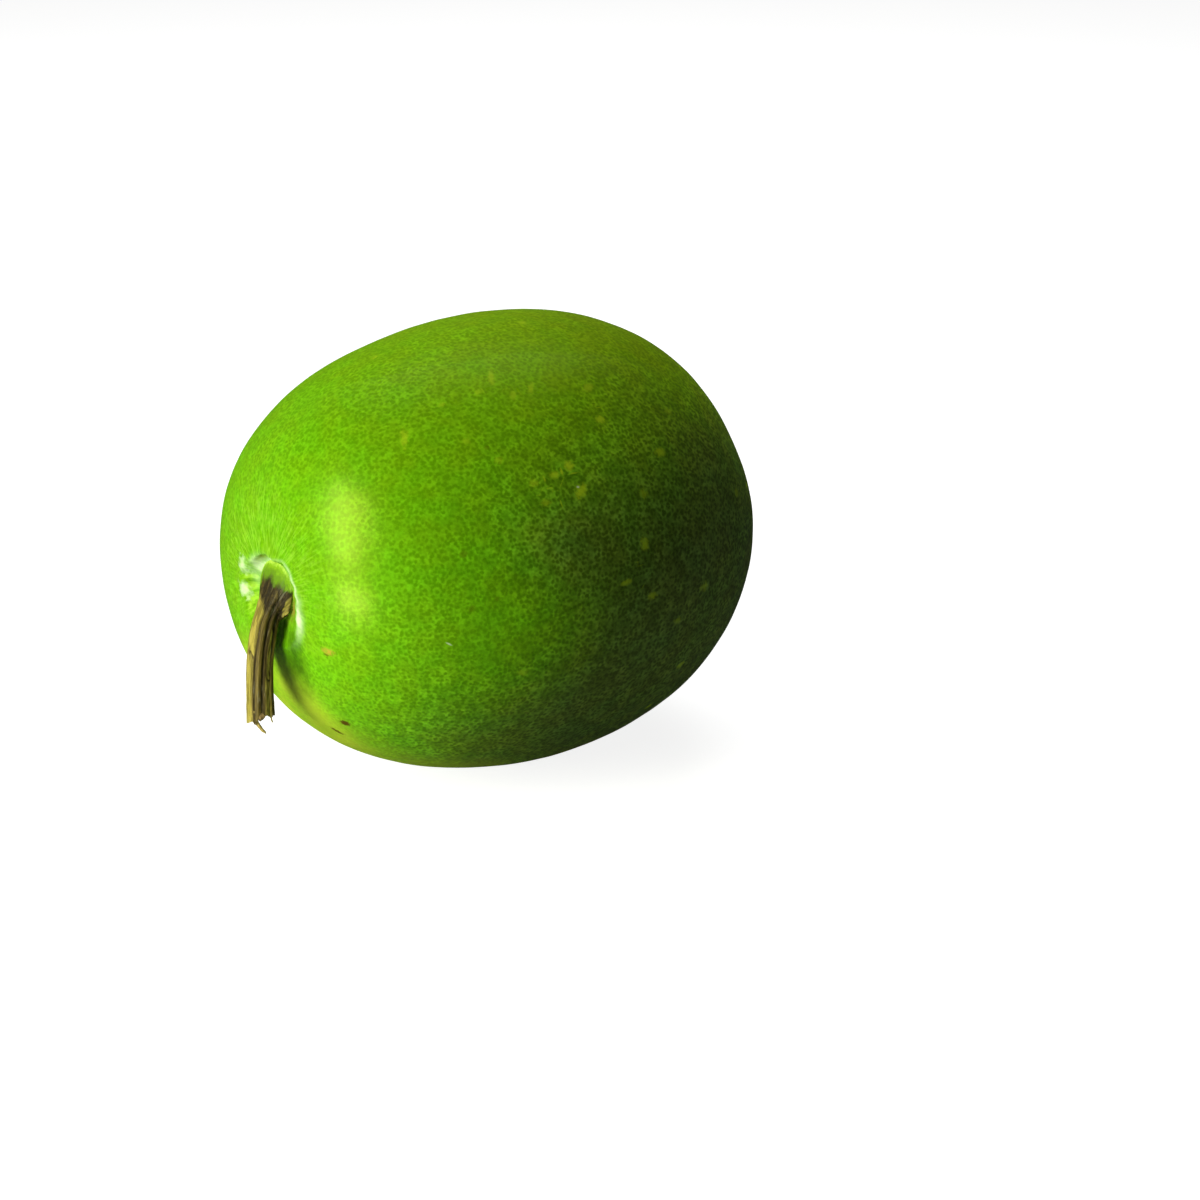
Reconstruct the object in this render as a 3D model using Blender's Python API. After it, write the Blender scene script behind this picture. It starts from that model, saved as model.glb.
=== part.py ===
import math

import bmesh
import bpy
from mathutils import Matrix, Vector

# Sizes are in metres and turns in degrees.
# The fruit's axis runs along X with the stem at -X; a turn of 0 points up and 90 points to +Y.

# Body of the fruit
HALF_LENGTH = 0.0923
HALF_WIDTH = 0.0789
BLUNTNESS = 0.733  # 1 gives the ends of an ellipsoid, less makes them blunter
SHOULDER = (0.030, 0.016, -0.016)  # swelling by the first three powers of the place along the axis
LOBES = ((2, 0.0082, 71.7), (4, 0.0039, 0.0), (5, 0.0080, -8.5))  # count, height as a share, turn
STEM_END_RISE = 1.4
AXIS_HEIGHT = 0.0767  # middle of the fruit above the surface it rests on; the underside is cut flat there

# Dimple round the stem, measured outwards from the axis
DIMPLE_DEPTH = 0.0034
DIMPLE_FLOOR = 0.0100
DIMPLE_RIM = 0.0165
DIMPLE_LEAN = 0.26  # the rim is nearer above the stem and farther below it
SHOULDER_DEPTH = 0.0026
SHOULDER_RADIUS = 0.0260
LIP_HEIGHT = 0.0004
LIP_WIDTH = 0.0028
RIB_COUNT = 5
RIB_TURN = -133.0
FOLD_SHARE = 0.06

# Scar of the flower at the far end
SCAR_PIT = 0.0016
SCAR_PIT_RADIUS = 0.0090
SCAR_BUTTON = 0.0012
SCAR_BUTTON_RADIUS = 0.0034

# Stem and the socket it sits in
GAP = 0.0003
PLUG_RADIUS = 0.0095
PLUG_LENGTH = 0.0022
STEM_LENGTH = 0.0440
STEM_ROOT_RADIUS = 0.0098
STEM_RADIUS = 0.0043
STEM_FLARE_LENGTH = 0.0058
STEM_END_SPREAD = 0.0003
RIB_HEIGHT = 0.08
SIDE_RIB_HEIGHT = 0.06
RIB_TWIST = 14.0
ROOT_BEND = 50.5
END_BEND = 81.0
SECTION_BEND_LENGTH = 0.0200
STEM_SWING = 18.0  # the stem hangs down and a little to -Y

# Broken free end of the stem
BREAK_REACH = 0.8  # the break shapes the stem from this share of its length on
BREAK_STEP = 0.0008
BREAK_TURN = 40.0
BREAK_SHARPNESS = 4.0
TOOTH_COUNT = 9
TOOTH_HEIGHT = 0.00025
SPLINTER_LENGTH = 0.0032
SPLINTER_TURN = -60.0
SPLINTER_WIDTH = 13.0
PITH_SHARE = 0.45
PITH_DEPTH = 0.0030

# Fineness of the meshes
SEGMENTS = 60
DIMPLE_RINGS = 13
BODY_RINGS = 32
SCAR_RINGS = 9
FINE_REACH = 0.0240
STEM_SIDES = 40
STEM_RINGS = 26
EDGE_ANGLE = 32.0


def ease(value, low, high):
    """0 below low, 1 above high and a smooth rise between them."""
    part = min(1.0, max(0.0, (value - low) / (high - low)))
    return part * part * (3.0 - 2.0 * part)


def bell(distance, width):
    return math.exp(-((distance / width) ** 2))


def girth(place):
    """Radius of the body without lobes; place runs from -90 at the stem to 90 at the flower's scar."""
    along = math.sin(math.radians(place))
    swelling = 1.0 + sum(share * along ** (power + 1) for power, share in enumerate(SHOULDER))
    return HALF_WIDTH * math.cos(math.radians(place)) ** BLUNTNESS * swelling


def place_of(radius, end):
    """Place along the body at which its radius near one end, -1 or 1, has this value."""
    swelling = 1.0 + sum(share * end ** (power + 1) for power, share in enumerate(SHOULDER))
    return end * (90.0 - math.degrees((radius / (HALF_WIDTH * swelling)) ** (1.0 / BLUNTNESS)))


def rim_radius(turn):
    lean = 1.0 - DIMPLE_LEAN * math.cos(math.radians(turn))
    fold = 1.0 + FOLD_SHARE * math.cos(math.radians(RIB_COUNT * (turn - RIB_TURN)))
    return DIMPLE_RIM * lean * fold


def stem_end_hollow(radius, turn):
    """How far the skin is drawn in along the axis at the stem end."""
    rim = rim_radius(turn)
    dimple = DIMPLE_DEPTH * (1.0 - ease(radius, DIMPLE_FLOOR, rim))
    shoulder = SHOULDER_DEPTH * bell(radius, SHOULDER_RADIUS)
    lip = LIP_HEIGHT * bell(radius - rim, LIP_WIDTH)
    return dimple + shoulder - lip


def scar_hollow(radius):
    pit = SCAR_PIT * bell(radius, SCAR_PIT_RADIUS)
    button = SCAR_BUTTON * bell(radius, SCAR_BUTTON_RADIUS)
    return pit - button


def skin_point(place, turn):
    radius = girth(place)
    reach = math.cos(math.radians(place))
    lobes = sum(height * math.cos(math.radians(count * (turn - start))) for count, height, start in LOBES)
    radius *= 1.0 + reach * lobes
    along = HALF_LENGTH * math.sin(math.radians(place))
    along += stem_end_hollow(radius, turn) if place < 0.0 else -scar_hollow(radius)
    angle = math.radians(turn)
    return Vector((along, radius * math.sin(angle), radius * math.cos(angle)))


def floor_along():
    """Where the dimple's floor meets the socket, along the axis."""
    return skin_point(place_of(PLUG_RADIUS + GAP, -1), 0.0).x


def spaced(first, last, count, growth=False):
    """Values from first to last, evenly spaced or each a fixed ratio from the one before."""
    steps = [index / (count - 1) for index in range(count)]
    if growth:
        return [first * (last / first) ** step for step in steps]
    return [first + (last - first) * step for step in steps]


def closed_tube(rings, first_centre, last_centre):
    """Closed mesh through rings of equal count, with a fan of triangles at each end."""
    mesh = bmesh.new()
    rows = [[mesh.verts.new(point) for point in ring] for ring in rings]
    count = len(rows[0])
    for near, far in zip(rows, rows[1:]):
        for index in range(count):
            following = (index + 1) % count
            mesh.faces.new((near[index], near[following], far[following], far[index]))
    for row, centre in ((rows[0], first_centre), (rows[-1], last_centre)):
        tip = mesh.verts.new(centre)
        for index in range(count):
            mesh.faces.new((row[index], tip, row[(index + 1) % count]))
    bmesh.ops.recalc_face_normals(mesh, faces=mesh.faces[:])
    return mesh


def flatten_underside(mesh, placing):
    """Cuts the body off at the surface it rests on and closes it with one flat face."""
    inverse = placing.inverted()
    down = inverse.to_3x3() @ Vector((0.0, 0.0, -1.0))
    parts = mesh.verts[:] + mesh.edges[:] + mesh.faces[:]
    bmesh.ops.bisect_plane(
        mesh, geom=parts, plane_co=inverse @ Vector((0.0, 0.0, 0.0)), plane_no=down, clear_outer=True
    )
    border = [edge for edge in mesh.edges if edge.is_boundary]
    bmesh.ops.contextual_create(mesh, geom=border)
    bmesh.ops.recalc_face_normals(mesh, faces=mesh.faces[:])


def fruit_mesh(placing):
    turns = [360.0 * index / SEGMENTS for index in range(SEGMENTS)]
    socket_radius = PLUG_RADIUS + GAP
    near = [place_of(radius, -1) for radius in spaced(socket_radius, FINE_REACH, DIMPLE_RINGS, True)]
    far = [place_of(radius, 1) for radius in spaced(FINE_REACH, SCAR_BUTTON_RADIUS / 3.0, SCAR_RINGS, True)]
    middle = spaced(near[-1], far[0], BODY_RINGS)[1:-1]
    rings = [[skin_point(place, turn) for turn in turns] for place in near + middle + far]
    socket_depth = PLUG_LENGTH + GAP
    socket = [point + Vector((socket_depth, 0.0, 0.0)) for point in rings[0]]
    bottom = Vector((floor_along() + socket_depth, 0.0, 0.0))
    tip = Vector((HALF_LENGTH - scar_hollow(0.0), 0.0, 0.0))
    mesh = closed_tube([socket] + rings, bottom, tip)
    flatten_underside(mesh, placing)
    return mesh


def stem_bend(length):
    """Angle between the stem and the fruit's axis, this far along the stem."""
    return ROOT_BEND + (END_BEND - ROOT_BEND) * math.sin(math.pi / 2.0 * length / STEM_LENGTH)


def bent_direction(angle):
    swing = math.radians(STEM_SWING)
    hang = Vector((0.0, -math.sin(swing), -math.cos(swing)))
    return Vector((-1.0, 0.0, 0.0)) * math.cos(math.radians(angle)) + hang * math.sin(math.radians(angle))


def stem_centres(lengths):
    """Points of the stem's middle line at these lengths; the first lies just off the dimple's floor."""
    points = [Vector((floor_along() - lengths[0], 0.0, 0.0))]
    for before, after in zip(lengths, lengths[1:]):
        points.append(points[-1] + bent_direction(stem_bend((before + after) / 2.0)) * (after - before))
    return points


def stem_radius(length):
    flare = (STEM_ROOT_RADIUS - STEM_RADIUS) * bell(length, STEM_FLARE_LENGTH)
    spread = STEM_END_SPREAD * ease(length, STEM_LENGTH / 2.0, STEM_LENGTH)
    return STEM_RADIUS + flare + spread


def rib(turn):
    """Height of the skin over the ribs at this turn, as a share of the radius; lower ribs lie between."""
    angle = math.radians(RIB_COUNT * (turn - RIB_TURN))
    return RIB_HEIGHT * math.cos(angle) + SIDE_RIB_HEIGHT * math.cos(2.0 * angle)


def break_length(turn):
    """How far the broken end reaches past the stem's length at this turn."""
    step = BREAK_STEP * math.tanh(BREAK_SHARPNESS * math.cos(math.radians(turn - BREAK_TURN)))
    teeth = TOOTH_HEIGHT * math.cos(math.radians(TOOTH_COUNT * turn))
    away = (turn - SPLINTER_TURN + 180.0) % 360.0 - 180.0
    return step + teeth + SPLINTER_LENGTH * bell(away, SPLINTER_WIDTH)


def section_direction(length):
    """The way a section of the stem faces: along the fruit's axis at the root, along the stem later."""
    return bent_direction(stem_bend(length) * ease(length, GAP, SECTION_BEND_LENGTH))


def ribbed_radii(length, turns):
    twist = RIB_TWIST * length / STEM_LENGTH
    grown = ease(length, 0.0, STEM_FLARE_LENGTH)
    return [stem_radius(length) * (1.0 + grown * rib(turn - twist)) for turn in turns]


def stem_section(centre, direction, turns, radii, offsets):
    """Ring round the stem with a radius and an offset at each turn; turn 0 is on the outside of the bend."""
    swing = math.radians(STEM_SWING)
    sideways = Vector((0.0, math.cos(swing), -math.sin(swing)))
    outward = sideways.cross(direction)
    ring = []
    for turn, radius, offset in zip(turns, radii, offsets):
        angle = math.radians(turn)
        across = outward * math.cos(angle) + sideways * math.sin(angle)
        ring.append(centre + across * radius + direction * offset)
    return ring


def stem_mesh():
    turns = [360.0 * index / STEM_SIDES for index in range(STEM_SIDES)]
    lengths = spaced(GAP, STEM_LENGTH, STEM_RINGS)
    centres = stem_centres(lengths)
    root = section_direction(GAP)
    plug_centre = centres[0] - root * (PLUG_LENGTH + GAP)
    level = [0.0] * STEM_SIDES
    rings = [stem_section(plug_centre, root, turns, [PLUG_RADIUS] * STEM_SIDES, level)]
    for length, centre in zip(lengths, centres):
        near_end = ease(length, BREAK_REACH * STEM_LENGTH, STEM_LENGTH)
        offsets = [near_end * break_length(turn) for turn in turns]
        radii = ribbed_radii(length, turns)
        rings.append(stem_section(centre, section_direction(length), turns, radii, offsets))
    end = section_direction(STEM_LENGTH)
    pith = [PITH_SHARE * radius for radius in ribbed_radii(STEM_LENGTH, turns)]
    rings.append(stem_section(centres[-1], end, turns, pith, [-PITH_DEPTH / 2.0] * STEM_SIDES))
    return closed_tube(rings, plug_centre, centres[-1] - end * PITH_DEPTH)


def finish_material(name, colour, roughness):
    material = bpy.data.materials.new(name)
    material.use_nodes = True
    shader = material.node_tree.nodes["Principled BSDF"]
    shader.inputs["Base Color"].default_value = (*colour, 1.0)
    shader.inputs["Roughness"].default_value = roughness
    shader.inputs["Metallic"].default_value = 0.0
    material.diffuse_color = (*colour, 1.0)
    return material


def add_part(name, mesh, material, parent):
    data = bpy.data.meshes.new(name)
    mesh.to_mesh(data)
    mesh.free()
    data.materials.append(material)
    data.shade_smooth()
    data.set_sharp_from_angle(angle=math.radians(EDGE_ANGLE))
    part = bpy.data.objects.new(name, data)
    part.parent = parent
    bpy.context.scene.collection.objects.link(part)
    return part


def main():
    for item in list(bpy.data.objects):
        bpy.data.objects.remove(item, do_unlink=True)
    gourd = bpy.data.objects.new("gourd", None)
    bpy.context.scene.collection.objects.link(gourd)
    tilt = Matrix.Rotation(math.radians(STEM_END_RISE), 4, "Y")
    gourd.matrix_world = Matrix.Translation((0.0, 0.0, AXIS_HEIGHT)) @ tilt
    skin = finish_material("waxy green skin", (0.115, 0.275, 0.012), 0.36)
    bark = finish_material("dried woody stem", (0.145, 0.090, 0.028), 0.62)
    add_part("fruit", fruit_mesh(gourd.matrix_world), skin, gourd)
    add_part("stem", stem_mesh(), bark, gourd)


main()
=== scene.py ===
import math
import random
from functools import partial

import bpy
import numpy as np
from mathutils import Matrix, Vector, noise


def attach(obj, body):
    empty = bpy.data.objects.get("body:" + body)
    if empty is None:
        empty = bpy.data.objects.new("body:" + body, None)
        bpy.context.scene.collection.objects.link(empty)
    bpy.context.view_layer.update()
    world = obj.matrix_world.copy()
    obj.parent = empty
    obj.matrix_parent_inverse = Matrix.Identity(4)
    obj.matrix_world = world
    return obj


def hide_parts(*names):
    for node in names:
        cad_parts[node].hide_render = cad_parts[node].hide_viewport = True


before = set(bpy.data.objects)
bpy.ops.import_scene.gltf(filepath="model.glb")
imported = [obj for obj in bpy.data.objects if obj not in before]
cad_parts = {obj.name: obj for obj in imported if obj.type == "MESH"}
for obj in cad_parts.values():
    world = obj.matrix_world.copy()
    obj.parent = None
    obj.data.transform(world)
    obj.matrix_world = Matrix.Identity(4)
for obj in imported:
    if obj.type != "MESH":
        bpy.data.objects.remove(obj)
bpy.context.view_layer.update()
scene = bpy.context.scene
print("gourd: frame loaded")

# Lengths are in metres unless a name or note says mm; turns are in degrees round the fruit's axis,
# 0 up and 90 towards +Y; a place runs from -90 at the stem to 90 at the flower's scar.
mm = 0.001
seedDirection = (1.0, 0.37, -0.71)  # a seed moves a noise this way


def ease(value, low, high):
    part = np.clip((value - low) / (high - low), 0.0, 1.0)
    return part * part * (3.0 - 2.0 * part)


def bell(distance, width):
    return np.exp(-((distance / width) ** 2))


def turnAway(turn, middle):
    # difference of two turns, from -180 to 180
    return (turn - middle + 180.0) % 360.0 - 180.0


def linearColour(hexColour):
    # sRGB hex to the linear colour that shaders and lights use
    parts = [int(hexColour[i:i + 2], 16) / 255.0 for i in (1, 3, 5)]
    return [p / 12.92 if p <= 0.04045 else ((p + 0.055) / 1.055) ** 2.4 for p in parts] + [1.0]


def fillSockets(node, links):
    # values or links for a node's sockets, by name or number, or in their order; hex text is a colour
    for name, value in links.items() if isinstance(links, dict) else enumerate(links):
        if isinstance(value, bpy.types.NodeSocket):
            node.id_data.links.new(value, node.inputs[name])
        else:
            node.inputs[name].default_value = linearColour(value) if isinstance(value, str) else value


def addNode(tree, kind, settings=None, links=(), out=0):
    # one node with its settings and what fills its sockets; gives back one of its outputs
    node = tree.nodes.new("ShaderNode" + kind)
    for name, value in (settings or {}).items():
        if name == "stops":
            ramp = node.color_ramp
            while len(ramp.elements) < len(value):
                ramp.elements.new(1.0)
            for element, (position, colour) in zip(ramp.elements, value):
                element.position = position
                element.color = linearColour(colour)
        else:
            setattr(node, name, value)
    fillSockets(node, links)
    return node.outputs[out]


# settings that many nodes share; a layer takes its mask at socket 0, what it covers at 6, its colour at 7
times, plus, minus = {"operation": "MULTIPLY"}, {"operation": "ADD"}, {"operation": "SUBTRACT"}
timesPlus, larger = {"operation": "MULTIPLY_ADD"}, {"operation": "MAXIMUM"}
plusHeld, timesPlusHeld = plus | {"use_clamp": True}, timesPlus | {"use_clamp": True}
softStep = {"interpolation_type": "SMOOTHSTEP"}
layer = {"data_type": "RGBA", "clamp_factor": True}
stain = layer | {"blend_type": "MULTIPLY"}


def newMaterial(name):
    # a material, what adds nodes to it, and its shader
    material = bpy.data.materials.new(name)
    material.use_nodes = True
    tree = material.node_tree
    return material, partial(addNode, tree), tree.nodes["Principled BSDF"]


def addObject(name, data):
    item = bpy.data.objects.new(name, data)
    scene.collection.objects.link(item)
    return item


def makePiece(name, points, faces, material, values=None, replaced=None, sharp=None):
    # a mesh piece in the row frame, with its per-vertex values, riding on the one body
    data = bpy.data.meshes.new(name)
    data.from_pydata(np.asarray(points).tolist(), [], faces)
    data.validate()
    for key, value in (values or {}).items():
        array = np.asarray(value, np.float32)
        single = array.ndim == 1
        field = data.attributes.new(key, "FLOAT" if single else "FLOAT_VECTOR", "POINT")
        field.data.foreach_set("value" if single else "vector", array.ravel())
    data.shade_smooth()
    if sharp:
        data.set_sharp_from_angle(angle=math.radians(sharp))
    data.materials.append(material)
    piece = addObject(name, data)
    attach(piece, "root")
    if replaced:
        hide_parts(replaced)
    return piece


def tubeFaces(rings, sides, base=0):
    # faces of a tube of rings, closed at both ends round the two points that follow them
    pairs = [(side, (side + 1) % sides) for side in range(sides)]
    starts = [base + row * sides for row in range(rings)]
    tip = base + rings * sides
    faces = [(a + i, a + j, b + j, b + i) for a, b in zip(starts, starts[1:]) for i, j in pairs]
    faces += [(starts[0] + i, tip, starts[0] + j) for i, j in pairs]
    return faces + [(starts[-1] + j, tip + 1, starts[-1] + i) for i, j in pairs]


def noiseOf(points, size, seed):
    # smooth noise from about -1 to 1 with this feature size, one value for each point
    shift = seed * np.array(seedDirection)
    return np.array([noise.noise(Vector(point)) for point in points / size + shift])


# The fruit: the source's own formula on a finer grid, with the dents, folds and scars of a real rind
fruit = dict(
    halfLength=0.0923, halfWidth=0.0789, bluntness=0.733, shoulder=(0.030, 0.016, -0.016),
    lobes=((2, 0.0082, 71.7), (4, 0.0039, 0.0), (5, 0.0080, -8.5)), stemEndRise=1.4, axisHeight=0.0767,
    dimpleDepth=0.0034, dimpleFloor=0.0100, dimpleRim=0.0165, dimpleLean=0.26,
    # the lip bulges out here: turn, spread in turn, reach in mm
    lipBulges=((-38.0, 17.0, 3.6), (-68.0, 20.0, 1.6), (-98.0, 24.0, 2.2)),
    shoulderDepth=0.0026, shoulderRadius=0.0260, lipHeight=0.0004, lipWidth=0.0028,
    ribCount=5, ribTurn=-133.0, foldShare=0.06,
    scarPit=0.0016, scarPitRadius=0.0090, scarButton=0.0012, scarButtonRadius=0.0034,
    sides=372, dimpleRings=62, bodyRings=164, scarRings=24, lineSteps=2000, fineReach=0.0240,
    firstRadius=0.0012, lastRadius=0.0004, dimpleCrowding=1.15, scarCrowding=1.3,
    # broad unevenness: height and feature size in mm, and seed; it fades out towards the stem
    waves=((0.32, 34.0, 3.1), (0.13, 12.0, 8.7), (0.05, 5.5, 14.3)), waveStart=(0.006, 0.030),
    # shallow dents: place, turn, reach in mm, depth in mm
    dents=((52.0, -55.0, 11.0, 0.55), (-20.0, 20.0, 16.0, 0.30), (30.0, 120.0, 18.0, 0.45),
           (-35.0, 150.0, 15.0, 0.35), (10.0, -140.0, 14.0, 0.30)),
    # pleats round the stem: height in mm, count, how far they wander in degrees with size in mm and seed
    foldHeight=0.16, foldCount=23, foldWander=(9.0, 11.0, 5.5),
    foldStart=(0.008, 0.013), foldStop=(0.017, 0.034),
    # wrinkles round the flower's scar, which wander this many times as far
    wrinkleHeight=0.07, wrinkleCount=19, wrinkleWander=3.0, wrinkleStart=(0.001, 0.003),
    wrinkleStop=(0.005, 0.012),
    scarLift=0.12, scarLiftReach=0.9, furrowDepth=0.55, furrowReach=0.8, restSoftness=0.6, tipRadius=1e-5,
)


def swelling(along):
    return 1.0 + sum(share * along ** (power + 1) for power, share in enumerate(fruit["shoulder"]))


def girth(place):
    angle = np.radians(place)
    return fruit["halfWidth"] * np.cos(angle) ** fruit["bluntness"] * swelling(np.sin(angle))


def placeOf(radius, end):
    # the place with this girth near the stem's end, -1, or the flower's, 1
    share = radius / (fruit["halfWidth"] * swelling(end))
    return end * (90.0 - np.degrees(share ** (1.0 / fruit["bluntness"])))


def rimRadius(turn):
    lean = 1.0 - fruit["dimpleLean"] * np.cos(np.radians(turn))
    fold = 1.0 + fruit["foldShare"] * np.cos(np.radians(fruit["ribCount"] * (turn - fruit["ribTurn"])))
    bulge = sum(reach * mm * bell(turnAway(turn, middle), spread)
                for middle, spread, reach in fruit["lipBulges"])
    return fruit["dimpleRim"] * lean * fold + bulge


def stemEndHollow(radius, turn):
    rim = rimRadius(turn)
    dimple = fruit["dimpleDepth"] * (1.0 - ease(radius, fruit["dimpleFloor"], rim))
    shoulder = fruit["shoulderDepth"] * bell(radius, fruit["shoulderRadius"])
    return dimple + shoulder - fruit["lipHeight"] * bell(radius - rim, fruit["lipWidth"])


def scarHollow(radius):
    pit = fruit["scarPit"] * bell(radius, fruit["scarPitRadius"])
    return pit - fruit["scarButton"] * bell(radius, fruit["scarButtonRadius"])


def skinPoint(place, turn):
    # point of the rind before it is set down, with its distance from the axis
    place, turn = np.broadcast_arrays(np.asarray(place, float), np.asarray(turn, float))
    reach = np.cos(np.radians(place))
    lobes = sum(height * np.cos(np.radians(count * (turn - start)))
                for count, height, start in fruit["lobes"])
    radius = girth(place) * (1.0 + reach * lobes)
    along = fruit["halfLength"] * np.sin(np.radians(place))
    along = along + np.where(place < 0.0, stemEndHollow(radius, turn), -scarHollow(radius))
    angle = np.radians(turn)
    return np.stack([along, radius * np.sin(angle), radius * np.cos(angle)], -1), radius


settingDown = Matrix.Translation((0.0, 0.0, fruit["axisHeight"])) @ Matrix.Rotation(
    math.radians(fruit["stemEndRise"]), 4, "Y")
settingTurn = np.array(settingDown.to_3x3())
settingShift = np.array(settingDown.to_translation())


def setDown(points):
    return points @ settingTurn.T + settingShift


def spotFrame(place, turn):
    # middle of a mark on the rind with its directions along and round the fruit
    step = 0.5
    middle = setDown(skinPoint(place, turn)[0])
    along = setDown(skinPoint(place + step, turn)[0]) - middle
    around = setDown(skinPoint(place, turn + step)[0]) - middle
    along /= np.linalg.norm(along)
    around -= along * (around @ along)
    around /= np.linalg.norm(around)
    return middle, along, around


# Marks on the rind: place, turn, half length and half width in mm, lean from the meridian, strength
marks = dict(
    # yellow-green flecks where the rind's net opens
    fleck=[
        (5.7, -34.2, 2.6, 1.5, 20, 0.55), (4.2, -43.5, 1.9, 1.5, 0, 0.75),
        (-7.7, -53.4, 1.9, 1.7, 30, 0.95), (-11.7, -54.6, 1.8, 1.4, 0, 0.7),
        (-16.7, -55.4, 1.7, 1.5, 0, 0.45), (-7.2, -60.2, 3.0, 1.7, 35, 0.9),
        (-15.7, -60.9, 1.7, 1.4, 0, 0.5), (15.9, -55.1, 2.3, 1.7, 0, 0.7),
        (4.8, -76.0, 1.8, 2.2, 0, 0.75), (-1.0, -84.0, 2.4, 1.0, 10, 0.65),
        (5.8, -89.0, 1.9, 1.5, 0, 0.65), (7.6, -64.2, 1.8, 1.7, 0, 0.45),
        (-7.0, -30.5, 2.6, 1.1, 55, 0.5), (-11.6, -30.9, 2.2, 1.2, 60, 0.4),
        (24.0, -44.0, 2.0, 1.6, 0, 0.35), (-38.4, -30.2, 3.6, 1.3, 62, 0.55),
        (-13.4, -23.8, 3.8, 1.2, 65, 0.55), (-18.2, -26.7, 1.6, 1.1, 40, 0.4),
        (-26.8, -26.0, 1.4, 1.0, 0, 0.35), (-26.6, -39.0, 1.5, 1.2, 0, 0.30),
        (-22.0, -47.0, 1.6, 1.3, 0, 0.35), (14.0, -98.0, 1.8, 1.4, 0, 0.4),
        (-24.0, -104.0, 2.0, 1.3, 0, 0.35),
    ],
    # tan grazes
    graze=[(-71.7, -111.0, 3.2, 1.6, 16, 0.95)],
    # small brown scars
    scar=[
        (-71.9, -113.5, 1.5, 0.5, 14, 0.60), (-58.1, -146.2, 2.4, 1.7, 60, 0.95),
        (-56.1, -157.2, 2.9, 1.2, 25, 0.85), (-36.4, -68.7, 1.6, 1.2, 30, 0.30),
        (-30.8, -82.0, 1.0, 1.1, 0, 0.25), (-36.5, -84.0, 1.4, 1.2, 0, 0.30),
        (-23.2, -42.8, 1.1, 0.9, 0, 0.35),
    ],
    # a shallow furrow that runs down from the dimple behind the stem; its dark colour is a painted shadow of
    # the stem
    furrow=[(-77.6, -144.5, 14.0, 7.2, -27.0, 1.0)],
    # pale scuffs where the rind is rubbed
    scuff=[
        (-83.3, 74.0, 2.6, 3.4, 15, 0.40), (-83.5, 106.0, 2.2, 3.2, 30, 0.46),
        (-41.8, -94.2, 0.35, 1.2, 65, 0.4), (-7.6, -59.0, 0.6, 0.45, 0, 0.6),
    ],
    # seeded marks for the other sides: count, least and most strength, least and most half length in mm
    spare=dict(fleck=(34, 0.35, 0.85, 1.3, 2.3), scar=(5, 0.3, 0.7, 0.7, 1.3)),
    seed=41, tries=60, gap=15.0, endToEnd=(-0.86, 0.93), backTurns=(12.0, 245.0), backShare=0.86,
    narrowing=(0.55, 0.95), spareLean=60.0, lowestSpare=0.004,
    # a mark's strength fades out this far away, in half sizes, and where another mark is as near
    fadeOut=(2.6, 3.6), seam=(0.15, 0.5),
)


def spareMarks():
    # flecks and scars for the sides that the placed ones don't cover
    draw = random.Random(marks["seed"])
    kinds = ("fleck", "graze", "scar", "furrow")
    taken = [setDown(skinPoint(*mark[:2])[0]) for kind in kinds for mark in marks[kind]]
    for kind, (count, weakest, strongest, smallest, largest) in marks["spare"].items():
        for _ in range(count):
            for _ in range(marks["tries"]):
                place = math.degrees(math.asin(draw.uniform(*marks["endToEnd"])))
                atBack = draw.random() < marks["backShare"]
                turn = draw.uniform(*marks["backTurns"]) if atBack else draw.uniform(-180.0, 180.0)
                middle = setDown(skinPoint(place, turn)[0])
                clear = min(np.linalg.norm(middle - other) for other in taken)
                if clear > marks["gap"] * mm and middle[2] > marks["lowestSpare"]:
                    taken.append(middle)
                    size = draw.uniform(smallest, largest)
                    width = size * draw.uniform(*marks["narrowing"])
                    lean = draw.uniform(-marks["spareLean"], marks["spareLean"])
                    marks[kind].append((place, turn, size, width, lean, draw.uniform(weakest, strongest)))
                    break


def markOffsets(points, kind):
    # offset of each point from its nearest mark, in half sizes along and across it, and the mark's strength
    # close by; the strength is 0 where the nearest mark changes, so values between points stay true
    best, second = np.full((2, len(points)), np.inf)
    result = np.zeros((len(points), 3))
    for place, turn, halfLength, halfWidth, lean, strength in marks[kind]:
        middle, along, around = spotFrame(place, turn)
        tilt = math.radians(lean)
        lengthways = along * math.cos(tilt) + around * math.sin(tilt)
        across = around * math.cos(tilt) - along * math.sin(tilt)
        away = (points - middle) / mm
        distance = np.sqrt((away ** 2).sum(-1)) / max(halfLength, halfWidth)
        nearer = distance < best
        second = np.where(nearer, best, np.minimum(second, distance))
        best = np.where(nearer, distance, best)
        value = np.stack([away @ lengthways / halfLength, away @ across / halfWidth,
                          strength * (1.0 - ease(distance, *marks["fadeOut"]))], -1)
        result = np.where(nearer[:, None], value, result)
    result[:, 2] *= ease(second - best, *marks["seam"])
    return result


def creaseAt(place, turn, radius, widening=1.0):
    # the sharp crease over the stem, 1 along its middle
    middle, width, centre, spread = rindTone["creaseBand"]
    across = bell(radius / mm - middle, widening * width)
    return (place < 0.0) * across * bell(turnAway(turn, centre), spread)


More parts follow.
